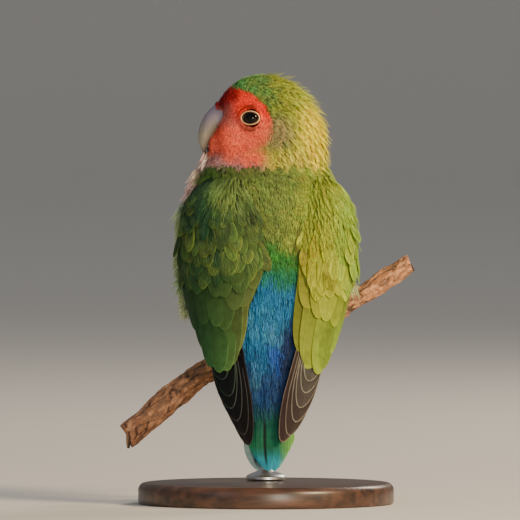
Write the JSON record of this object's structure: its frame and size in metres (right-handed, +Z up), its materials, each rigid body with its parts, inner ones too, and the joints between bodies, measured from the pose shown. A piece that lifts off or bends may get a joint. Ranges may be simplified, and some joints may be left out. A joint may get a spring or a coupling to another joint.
{
  "type": "life-size peach-faced lovebird model",
  "caption": "Still model of a perched peach-faced lovebird seen from behind, head turned left, gripping a cut branch held up by a rod on a round base.",
  "frame": {"origin": "middle of the underside of the stand's base", "axes": "+Z up; +Y the way the bird's breast faces; its head is turned to its own left, towards -X"},
  "size_m": [0.1114, 0.096, 0.1614],
  "materials": {
    "face plumage": "soft matt feathers, red brow to peach throat",
    "green plumage": "soft matt feathers, yellowish green",
    "blue plumage": "soft matt feathers, bright blue",
    "tail plumage": "feather vanes, green with bluish tips",
    "wing plumage": "feather vanes, green, with dark brown flight feathers",
    "horn bill": "smooth pale horn, satin",
    "cere skin": "bare skin",
    "eye": "wet gloss, near black brown",
    "foot skin": "scaly grey skin",
    "claw": "dark horn",
    "bark": "weathered rough bark",
    "stand wood": "dark stained, satin",
    "stand steel": "satin"
  },
  "bodies": {
    "root": {"cere": "cere skin", "claw_left_1": "claw", "claw_left_2": "claw", "claw_left_3": "claw", "claw_left_4": "claw", "claw_right_1": "claw", "claw_right_2": "claw", "claw_right_3": "claw", "claw_right_4": "claw", "eye_left": "eye", "eye_right": "eye", "foot_left": "foot skin", "foot_right": "foot skin", "head": "face plumage", "leg_left": "green plumage", "leg_right": "green plumage", "lower_bill": "horn bill", "neck": "green plumage", "perch": "bark", "rump": "blue plumage", "stand_base": "stand wood", "stand_rod": "stand steel", "tail": "tail plumage", "torso": "green plumage", "upper_bill": "horn bill", "wing_left": "wing plumage", "wing_right": "wing plumage"}
  },
  "joints": []
}
